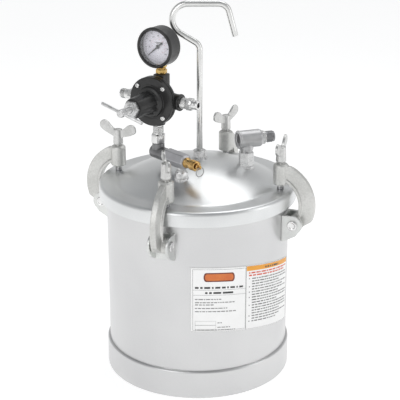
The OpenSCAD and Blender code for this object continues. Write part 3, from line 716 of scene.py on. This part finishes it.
def makeHook():
    # up the axis, over to the left, back round the loop and down to the tip
    (bendR, bend), (loopR, loop), (noseR, nose) = hook["bend"], hook["loop"], hook["nose"]
    loopZ = hook["top"] - loopR
    slant = math.radians(bend)
    loopStart = (hook["loopAt"] - loopR * math.cos(slant), loopZ - loopR * math.sin(slant))
    bendEnd = -bendR * (1 - math.cos(slant))
    run = (bendEnd - loopStart[0]) / math.sin(slant)
    bendZ = loopStart[1] - run * math.cos(slant) - bendR * math.sin(slant)
    shape = bentRod(hook["radius"], (0, 0, hook["foot"]), [
        ("run", bendZ - hook["foot"], 0), ("bend", bendR, -bend), ("run", run, 0), ("bend", loopR, loop),
        ("run", hook["noseAt"] - hook["loopAt"], 0), ("bend", noseR, nose), ("run", hook["tip"], 0)])
    standIn("hookRod", shape, rodSteel, "hook_rod", place=shifted(*hook["at"], 0) @ turned(hook["angle"]))


def makePorts():
    at = shifted(airPort.x, airPort.y, 0)
    seat = domeAt(61)
    shape = joined(hexBar(7.45, seat - 3.5, 292.5, 1.1), rod(9.4, seat - 4, seat + 1.4, 0.7),
                   rod(6.6, 291.5, 294.2, 0.4), rod(5.6, 293, 301, 0.3))
    standIn("airPort", shape, satinZinc, "air_port", place=at)
    at = shifted(outletPort.x, outletPort.y, 0)
    seat = domeAt(64.3)
    shape = joined(hexBar(9.0, seat - 4, 303, 1.8), rod(11.0, seat - 4.5, seat + 1.6, 0.9),
                   rod(7.6, 302.5, 307, 0.5))
    standIn("outletPort", shape, satinZinc, "outlet_port", place=at)
    tube = lathe([(4.8, 20), (6, 20, 0.3), (6, 276, 0.3), (4.8, 276)], 40)
    standIn("dipTube", tube, springSteel, "dip_tube", place=at)


makeLid()
makeHook()
makePorts()
print("lid made")


# ---- air line ----

def makeManifold():
    lying = manifoldPlace @ alongX
    flatsUp = lying @ turned(30)
    standIn("manifoldBody", hexBar(9, -10, 30, 1.4), greySteelManifold, "manifold_body", place=flatsUp)
    band = lathe([(5, 29.2), (8.3, 30.1, 0.5), (8.3, 32, 0.5), (5, 32)], 64)
    standIn("manifoldRing", band, brightZincManifold, "manifold_ring", place=lying)
    end = {"radius": 8.8, "low": 32.3, "high": 58.3, "chamfer": 2, "socket": 4.4, "riser": 47.5}
    wide, low, high = end["radius"], end["low"], end["high"]
    barrel = lathe([(0, low), (wide - 0.6, low, 0.4), (wide, low + 1.2, 0.6),
                    (wide, high - end["chamfer"], 0.6), (wide - 1.5, high, 0.5), (end["socket"], high, 0.3),
                    (end["socket"], high - 2.5), (0, high - 2.5)])
    neck = lathe([(0, 0), (8.6, 5), (8, 9, 1), (8, 12.9, 0.6), (0, 12.9)])
    moved(neck, shifted(end["riser"], 0, 0))
    shape = joined(moved(barrel, alongX), neck)
    standIn("manifoldTee", shape, darkSteelManifold, "manifold_tee", place=manifoldPlace)
    riser = manifoldPlace @ shifted(end["riser"], 0, -ringPlace.z)
    nut = joined(hexBar(8.5, 319.6, 332, 1.2), rod(6.8, 331, 333, 0.4))
    standIn("unionNut", nut, brightZincUp, "union_nut", place=riser @ turned(12))
    standIn("riserNipple", threaded(7.2, 1.7, 332.2, 344.6, 0.75), brightZincUp, "riser_nipple", place=riser)


relief = {"grip": 6.8, "groove": 0.6, "grooves": (-22.6, -25.0, -27.4), "springWire": 0.45}


def makeRelief():
    lying = manifoldPlace @ alongX
    grip, bottom = relief["grip"], relief["grip"] - relief["groove"]
    grooves = []
    for at in relief["grooves"]:
        grooves += [(grip, at + 0.8, 0.2), (bottom, at + 0.4), (bottom, at - 0.4), (grip, at - 0.8, 0.2)]
    body = lathe([(0, -6.3), (5.3, -6.3), (5.3, -10), (7, -10, 1.1), (7, -13.2, 1.5), (5, -13.8, 0.4),
                  (5, -19.6, 0.4), (grip, -20.2, 0.9), *grooves, (grip, -31, 1.2), (2.1, -31, 0.3),
                  (2.1, -29.4), (3.8, -29.2), (3.8, -11.2), (0, -11.2)])
    standIn("reliefBody", body, brassManifold, "relief_body", place=lying)
    stem = lathe([(0, -12.1), (3.5, -12.1, 0.3), (3.5, -14.1, 0.3), (1.5, -14.4), (1.5, -33),
                  (4.4, -33, 0.4), (3.7, -34.6, 0.5), (0, -34.6)], 40)
    tab = plate([(-34, -3.1), (-34, 3.1), (-38.9, 2.4, 1.8), (-38.9, -2.4, 1.8)], 2.1, 0.35)
    stem = joined(moved(stem, alongX), tab)
    standIn("reliefStem", stem, brassManifold, "relief_stem", place=manifoldPlace)
    spring = standIn("reliefSpring", coil(2.75, relief["springWire"], -28.7, -14.5, 8), springSteel,
                     "relief_spring", place=lying)
    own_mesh(spring)
    # two turns of thin wire side by side
    loops = joined(moved(ring(6, 0.42), shifted(0, 0, 0.36)), moved(ring(6, 0.42), shifted(0, 0, -0.36)))
    hung = Matrix.Translation(ringPlace) @ turned(150) @ shifted(0, 0, -6) @ alongX
    standIn("reliefRing", loops, ringSteel, "relief_ring", place=hung)


def makeOutlet():
    lying = teePlace @ alongX
    run = lathe([(9.6, -12.5), (12.2, -12.5, 0.8), (12.2, -9.6, 0.8), (11.7, -9.0, 0.3), (11.7, 18, 0.6),
                 (10.4, 20.4, 0.4), (0, 20.4), (0, 3), (8.6, 3), (8.6, -10.6), (9.6, -11.6)])
    thread = wound([(9.2, 0), (8.1, 0.6), (8.1, 0.9), (9.2, 1.5)], 1.8, 9)
    neck = lathe([(0, 0), (10.6, -5), (9.4, -9, 1.2), (9.4, -14.5, 0.9), (0, -14.5)])
    shape = joined(moved(run, alongX), moved(moved(thread, shifted(0, 0, -11)), alongX), neck)
    standIn("outletTee", shape, teeSteel, "outlet_tee", place=teePlace)
    collar = hexBar(7.9, 20.4, 26, 0.8, bore=3.8)
    standIn("outletNipple", collar, brightZincOutlet, "outlet_nipple", place=lying @ turned(30))
    thread = threaded(7.75, 1.9, 25.8, 38.5, 0.8, bore=3.8)
    piece("outletThread", thread, threadSteel, "outlet_nipple", place=lying)


makeManifold()
makeRelief()
makeOutlet()
print("air line made")


# ---- regulator ----

regulator = {"drum": 20, "flange": 32, "joint": 11, "bonnet": 12.2, "flangeDeep": 5, "housing": (15, 13),
             "housingEnd": 56, "flutes": 9, "fluteDeep": 1.3, "screwAt": 19, "stemAt": -9}


def makeRegulatorBody():
    joint = regulator["joint"]
    drum = lathe([(0, -17), (5, -17, 0.5), (6, -15.8), (10, -15.8), (11, -17, 0.5), (14, -17, 2.2),
                  (14, -8.4, 1.2), (regulator["drum"], -7.6, 2), (regulator["drum"], 5, 2.5),
                  (regulator["flange"], 5, 1.2), (regulator["flange"], joint, 0.7), (17.2, joint),
                  (17.2, 6.2), (0, 6.2)], 96, 4)
    side = lathe([(0, 4), (13, 14), (10.4, 25, 3), (10.4, 33, 0.4), (11, 33.6, 0.4), (11, 36, 0.9),
                  (6.4, 36, 0.3), (6.4, 34), (0, 34)], 48)
    other = lathe([(0, 4), (13, 14), (10.2, 26, 3), (10.2, 36, 0.9), (5.8, 36, 0.3), (5.8, 34), (0, 34)], 48)
    under = lathe([(0, 0), (12.5, -16), (9.5, -25, 3), (9.5, -34, 0.9), (0, -34)], 48)
    top = moved(block(16, 16, 31.5, 1.4, 3), shifted(regulator["stemAt"], 0, 15.75))
    fin = [(-14, 0), (4, 0), (4, 29, 1), (1, 29, 2), (-14, 14, 2)]
    fins = [moved(plate(fin, 3.2, 0.6), turned(turn, "X")) for turn in (-45, 45, 135, 225)]
    shape = joined(moved(drum, alongX), moved(side, alongY), moved(other, turned(180) @ alongY), under, top,
                   *fins)
    standIn("regulatorBody", shape, blackEnamel, "regulator_body", place=regulatorPlace)
    seal = lathe([(0, joint), (21.9, joint), (31.2, joint, 0.3), (31.2, 12.2, 0.3), (0, 12.2)], 96)
    standIn("diaphragmDisc", seal, rubber, "diaphragm", place=regulatorLying)


def makeBonnet():
    face = regulator["bonnet"] + regulator["flangeDeep"]
    thick, thin = regulator["housing"]
    end = regulator["housingEnd"]
    low, flange = regulator["bonnet"], regulator["flange"]
    cap = lathe([(17, low), (flange, low, 0.7), (flange, face, 1.1), (22.6, face, 0.3), (22, face - 0.3),
                 (20.4, face - 0.3), (19.8, face + 0.6, 0.5), (19.2, face + 3.5, 1.4),
                 (thick + 1.2, face + 3.9, 1.2), (thick, face + 6.5, 1.0), (thin, end, 1.0), (7, end),
                 (7, end - 3.5), (10.6, end - 3.5), (10.6, 16), (17, 15)], 180, 4)
    for vert in cap.verts:
        if vert.co.xy.length > 12 and face + 5 < vert.co.z < end - 1.5:
            around = math.atan2(vert.co.y, vert.co.x)
            inFlute = max(0.0, math.cos(around * regulator["flutes"])) ** 0.4
            vert.co.xy *= 1 - regulator["fluteDeep"] * inFlute / thick
    standIn("regulatorBonnet", cap, blackEnamel, "regulator_bonnet", place=regulatorLying)
    heads = []
    for across in (-1, 1):
        for up in (-1, 1):
            head = lathe([(0, 6.4), (1.7, 6.4), (1.7, face), (3.2, face + 0.1, 0.1),
                          (3.2, face + 1.3, 0.7), (2.3, face + 2.2, 0.4), (1.5, face + 2.2, 0.1),
                          (1.3, face + 0.6), (0, face + 0.4)], 28)
            at = shifted(0, across * regulator["screwAt"], up * regulator["screwAt"])
            heads.append(moved(head, at @ alongX))
    standIn("bonnetScrews", joined(*heads), brightZincRegulator, "bonnet_screws", place=regulatorPlace)
    nut = joined(moved(hexBar(9.6, end + 0.1, 62.5, 1.0), turned(30)), rod(7.6, end - 0.4, end + 0.5, 0.2))
    nut = joined(nut, lathe([(4.3, 62), (6.6, 62), (6.6, 64.2, 0.7), (4.3, 64.2, 0.3)], 48))
    standIn("bonnetNut", nut, satinZinc, "bonnet_nut", place=regulatorLying)
    seat = lathe([(0, 47), (8, 47), (10, 47.4, 0.5), (10, 50, 0.6), (0, 50)], 48)
    standIn("springSeat", seat, springSteel, "spring_seat", place=regulatorLying)
    spring = standIn("regulatorSpring", coil(7.5, 1.0, 12.3, 46.9, 6), springSteel, "regulator_spring",
                     place=regulatorLying)
    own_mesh(spring)


def makeScrewHandle():
    head = lathe([(0, 74.8), (4.4, 74.8, 0.4), (5.2, 76, 0.6), (5.2, 84, 0.8), (4.1, 85.5, 0.8), (0, 85.5)])
    screw = joined(threaded(4, 1.5, 49.6, 76, 0.6), rod(1.7, 48.6, 50.4, 0.1), head)
    standIn("tScrew", screw, satinZinc, "t_screw", place=regulatorLying)
    bar = rod(2.25, -31.5, 31.5, 0.7)
    tilt = regulatorPlace @ shifted(80, 0, 0) @ turned(-15.5, "X") @ alongY
    standIn("tBar", bar, satinZinc, "t_bar", place=tilt)


def makeAirFittings():
    left = regulatorPlace @ turned(180) @ alongY
    shape = joined(rod(5.7, 27, 38), hexBar(7.7, 36.1, 43, 0.9, bore=3.5),
                   rod(6.3, 42.6, 49, 0.5, bore=3.5), threaded(6.6, 1.8, 48.4, 57, 0.8, bore=3.5))
    standIn("airInletNipple", shape, brightZincSide, "air_inlet_nipple", place=left)
    right = regulatorPlace @ alongY
    shape = joined(threaded(7.3, 1.8, 35.9, 45, 0.7, bore=3.25), hexBar(7.2, 44.5, 54, 1.0, bore=3.25),
                   lathe([(3.25, 53.5), (6, 53.5), (6, 56.4, 0.3), (5.5, 57), (6, 57.6, 0.3), (6, 62, 0.6),
                          (3.7, 62, 0.3), (3.25, 61.4)], 48), rod(3.3, 36, 50, 0))
    standIn("airOutletFitting", shape, brightZincSide, "air_outlet_fitting", place=right)


makeRegulatorBody()
makeBonnet()
makeScrewHandle()
makeAirFittings()
print("regulator made")


# ---- gauge ----

gauge = {"radius": 25.7, "dial": 23.7, "face": 2.0, "scaleFrom": 50, "scaleSweep": 260, "divisions": 8,
         "small": 5, "step": 20, "stemAt": -4.3}


def onDial(angle, reach):
    # a point of the dial, seen from the front; the angle runs clockwise from straight down
    return (-reach * math.sin(math.radians(angle)), -reach * math.cos(math.radians(angle)))


def makeGaugeCase():
    lying = gaugePlace @ alongX
    wall = lathe([(0, -12), (16, -12, 0.6), (17, -10.9), (21, -10.9), (22, -12, 0.6),
                  (gauge["radius"], -12, 3.5), (gauge["radius"], 9), (23.8, 9), (23.8, -9.4, 1), (0, -9.4)],
                 128, 5)
    standIn("gaugeCase", wall, gaugeBlack, "gauge_case", place=lying)
    bezel = lathe([(24.1, 8.9), (26.3, 8.9, 0.8), (26.3, 12.2, 1.2), (24.6, 13.5, 0.8), (23.2, 13.4, 0.5),
                   (21.9, 11.6, 0.2), (21.9, 9.6), (24.1, 9.6)], 128, 4)
    standIn("gaugeBezel", bezel, blackEnamel, "gauge_bezel", place=lying)
    lens = lathe([(0, 10.3), (24, 10.3, 0.1), (24, 11.4, 0.2), (20.5, 11.8), (14, 12.1), (6, 12.28),
                  (0, 12.3)], 96)
    standIn("gaugeLens", lens, glass, "gauge_lens", place=lying)
    stem = joined(hexBar(6.4, 410.1, 416.6, 0.9), rod(5.2, 416.2, 418.2, 0.3),
                  lathe([(0, 417.6), (5.6, 417.6, 0.5), (7.4, 420, 0.6), (7.4, 423, 0.5), (0, 423)], 48))
    at = gaugePlace @ Vector((gauge["stemAt"], 0, 0))
    standIn("gaugeStem", stem, brassUp, "gauge_stem", place=shifted(at.x, at.y, 0) @ turned(-92))
    bm = bmesh.new()
    bmesh.ops.create_circle(bm, radius=2, segments=16,
                            matrix=shifted(16, 0, 0) @ turned(90, "X") @ Matrix.Scale(0.55, 4, (1, 0, 0)))
    tube = spun(bm, 50, math.radians(250), merged=False)
    tube = joined(moved(tube, alongX), moved(block(6, 6, 5, 0.5), shifted(0, 0, -17)))
    standIn("bourdonTube", tube, brassUp, "bourdon_tube", place=gaugePlace @ shifted(-5, 0, 0))


def flatMark(width, height, place):
    bm = bmesh.new()
    bmesh.ops.create_cube(bm, size=1, matrix=place @ Matrix.Diagonal((width, height, 0.06, 1)))
    return bm


def tick(angle, inner, outer, width):
    return flatMark(width, outer - inner, turned(-angle) @ shifted(0, -(inner + outer) / 2, 0))


def numeral(text, angle, reach, size):
    drawn = bpy.data.curves.new("numeral", "FONT")
    drawn.body, drawn.size, drawn.align_x, drawn.align_y = text, size, "CENTER", "CENTER"
    drawn.extrude, drawn.resolution_u = 0.03, 3
    holder = linked("numeral", drawn)
    bpy.context.view_layer.update()
    mesh = bpy.data.meshes.new_from_object(holder.evaluated_get(bpy.context.evaluated_depsgraph_get()))
    bm = bmesh.new()
    bm.from_mesh(mesh)
    bpy.data.objects.remove(holder)
    bpy.data.meshes.remove(mesh)
    return moved(bm, shifted(*onDial(angle, reach), 0))


def makeDial():
    lying = gaugePlace @ alongX
    disc = lathe([(1.1, 1), (gauge["dial"], 1, 0.2), (gauge["dial"], gauge["face"], 0.2),
                  (1.1, gauge["face"])], 96)
    standIn("gaugeDial", disc, dialWhite, "gauge_dial", place=lying)
    marks, redMarks = [], []
    total = gauge["divisions"] * gauge["small"]
    for k in range(total + 1):
        angle = gauge["scaleFrom"] + gauge["scaleSweep"] * k / total
        big = k % gauge["small"] == 0
        marks.append(tick(angle, 17.3 if big else 18.8, 21.0, 0.5 if big else 0.2))
        if big:
            marks.append(numeral(str(gauge["step"] * k // gauge["small"]), angle, 13.9, 3.0))
            redMarks.append(numeral(str(k // gauge["small"] * 2), angle + 9, 8.9, 1.9))
        redMarks.append(tick(angle, 10.7 if big else 11.1, 11.8, 0.2))
    flat = gaugePlace @ shifted(gauge["face"] + 0.04, 0, 0) @ facingX
    piece("gaugeMarks", joined(*marks), dialInk, "gauge_dial", place=flat)
    piece("gaugeInnerMarks", joined(*redMarks), dialRed, "gauge_dial", place=flat)
    unit = [flatMark(11, 0.7, shifted(0, 5.2, 0)), flatMark(7, 0.6, shifted(0, 3.9, 0))]
    piece("gaugeWords", joined(*unit), dialInk, "gauge_dial", place=flat)


def makeNeedle():
    pointer = plate([(-0.3, -19.4, 0.2), (0.3, -19.4, 0.2), (1.1, -3), (0.9, 3), (1.7, 8.6, 0.6),
                     (-1.7, 8.6, 0.6), (-0.9, 3), (-1.0, -3)], 0.7, 0.12)
    pointer = moved(pointer, turned(-gauge["scaleFrom"], "X") @ shifted(3.8, 0, 0) @ turned(90))
    hub = joined(rod(1.0, -2, 5, 0.2), rod(2.6, 3.2, 4.6, 0.5))
    standIn("gaugeNeedle", joined(pointer, moved(hub, alongX)), needleBlack, "gauge_needle",
            place=gaugePlace)


makeGaugeCase()
makeDial()
makeNeedle()
print("gauge made")


# ---- clamps ----

wing = {"directions": {"front": 119, "right": 94, "back": 76, "left": 165}, "thickness": 3.4, "hub": (7, 6),
        "hubLow": 299.5, "hubHigh": 320}


def makeClamps():
    arm = castSkin(carried("clamp_arm_right"), 0.8, 5)
    paddle = [(2, 308.6), (7, 309), (14, 311.2, 2), (25.6, 315.0, 5), (30.6, 319.5, 4), (30.2, 326.4, 4.5),
              (23.6, 330.2, 4.5), (17.2, 327.8, 4), (10, 321.4, 2), (5.4, 319.4), (2, 319.2)]
    thick, thin = wing["hub"]
    low, high = wing["hubLow"], wing["hubHigh"]
    hub = lathe([(0, low), (thick - 0.6, low), (thick, low + 1.5), (thick - 0.3, low + 6),
                 (thin, high - 0.7), (thin - 0.7, high), (0, high)], 48)
    wings = [moved(plate(paddle, wing["thickness"], 0.8), turned(turn)) for turn in (0, 180)]
    casting = castSkin(joined(hub, *wings), 0.5, 3)
    for side, angle in clampAngles.items():
        name = side.capitalize()
        standIn("clampArm" + name, arm.copy(), clampCasting, "clamp_arm_" + side, place=turned(angle))
        centre = jointPlace["screw_turn_" + side]
        at = shifted(centre.x, centre.y, 0) @ turned(wing["directions"][side])
        screw = joined(casting.copy(), threaded(5, 1.5, 265.8, 300.5, 0.7))
        standIn("wingScrew" + name, screw, wingCasting, "wing_screw_" + side, place=at)
        pad = lathe([(0, 262.1), (4.5, 262.1, 0.5), (4.5, 265.6, 0.6), (2, 265.6), (2, 270.4, 0.3),
                     (0, 270.4)], 32)
        standIn("screwPad" + name, pad, springSteel, "screw_pad_" + side, place=at)
    arm.free()
    casting.free()


makeClamps()
print("clamps made")


# ---- studio ----

studio = {"azimuth": 20, "elevation": 20, "distance": 1.65, "aimHeight": 0.232, "aimRight": 0.0029,
          "lens": 110.3, "sensor": 36, "lightHeight": 0.22, "floorHalf": 30}


def stand(name, data, aim, azimuth, elevation, distance):
    # puts a camera or a light on a sphere round a point, facing it
    turn, rise = math.radians(azimuth), math.radians(elevation)
    back = Vector((math.sin(turn) * math.cos(rise), -math.cos(turn) * math.cos(rise), math.sin(rise)))
    holder = linked(name, data)
    holder.location = aim + back * distance
    holder.rotation_mode = "QUATERNION"
    holder.rotation_quaternion = (-back).to_track_quat("-Z", "Y")
    return holder


def makeCamera():
    aim = turned(studio["azimuth"]) @ Vector((studio["aimRight"], 0, studio["aimHeight"]))
    lens = bpy.data.cameras.new("camera")
    lens.lens, lens.sensor_width = studio["lens"], studio["sensor"]
    scene.camera = stand("camera", lens, aim, studio["azimuth"], studio["elevation"], studio["distance"])


def softbox(name, azimuth, elevation, distance, width, height, power):
    # a panel of light that faces the middle of the object, its azimuth counted from the camera's
    lamp = bpy.data.lights.new(name, "AREA")
    lamp.shape, lamp.size, lamp.size_y, lamp.energy = "RECTANGLE", width, height, power
    stand(name, lamp, Vector((0, 0, studio["lightHeight"])), studio["azimuth"] + azimuth, elevation, distance)


def makeStudio():
    softbox("keyLight", -35, 30, 1.7, 0.9, 1.3, 5.5)
    softbox("sideLight", 75, 20, 1.7, 0.6, 1.5, 3.5)
    softbox("topLight", 150, 66, 1.5, 1.2, 0.9, 6)
    world = bpy.data.worlds.new("studioWorld")
    scene.world = world
    world.use_nodes = True
    nodes, links = world.node_tree.nodes, world.node_tree.links
    seen, lit = nodes["Background"], nodes.new("ShaderNodeBackground")
    seen.inputs["Color"].default_value = (1, 1, 1, 1)
    spot = nodes.new("ShaderNodeTexCoord")
    split = nodes.new("ShaderNodeSeparateXYZ")
    ramp = nodes.new("ShaderNodeValToRGB")
    stops = ((0.0, tone(0.72)), (0.9, tone(0.34, 0.35, 0.36)))
    for stop, (position, colour) in zip(ramp.color_ramp.elements, stops):
        stop.position, stop.color = position, colour
    path, mixed = nodes.new("ShaderNodeLightPath"), nodes.new("ShaderNodeMixShader")
    links.new(spot.outputs["Generated"], split.inputs[0])
    links.new(split.outputs["Z"], ramp.inputs["Fac"])
    links.new(ramp.outputs["Color"], lit.inputs["Color"])
    links.new(path.outputs["Is Camera Ray"], mixed.inputs["Fac"])
    links.new(lit.outputs[0], mixed.inputs[1])
    links.new(seen.outputs[0], mixed.inputs[2])
    links.new(mixed.outputs[0], nodes["World Output"].inputs["Surface"])
    sweep = Finish("paleFloor", Roughness=0.8, Emission_Strength=0.66)
    speck = sweep.noise(3, 2)
    sweep.feed(sweep.shader.inputs["Emission Color"], tone(1.0))
    pale = sweep.wear(colour=sweep.mix(speck, tone(0.60), tone(0.62)))
    bm = bmesh.new()
    bmesh.ops.create_grid(bm, x_segments=4, y_segments=4, size=studio["floorHalf"])
    floor = linked("floor", meshOf("floor", bm))
    floor.data.materials.append(pale)
    scene.view_settings.view_transform = "Standard"


makeCamera()
makeStudio()
print("studio made")
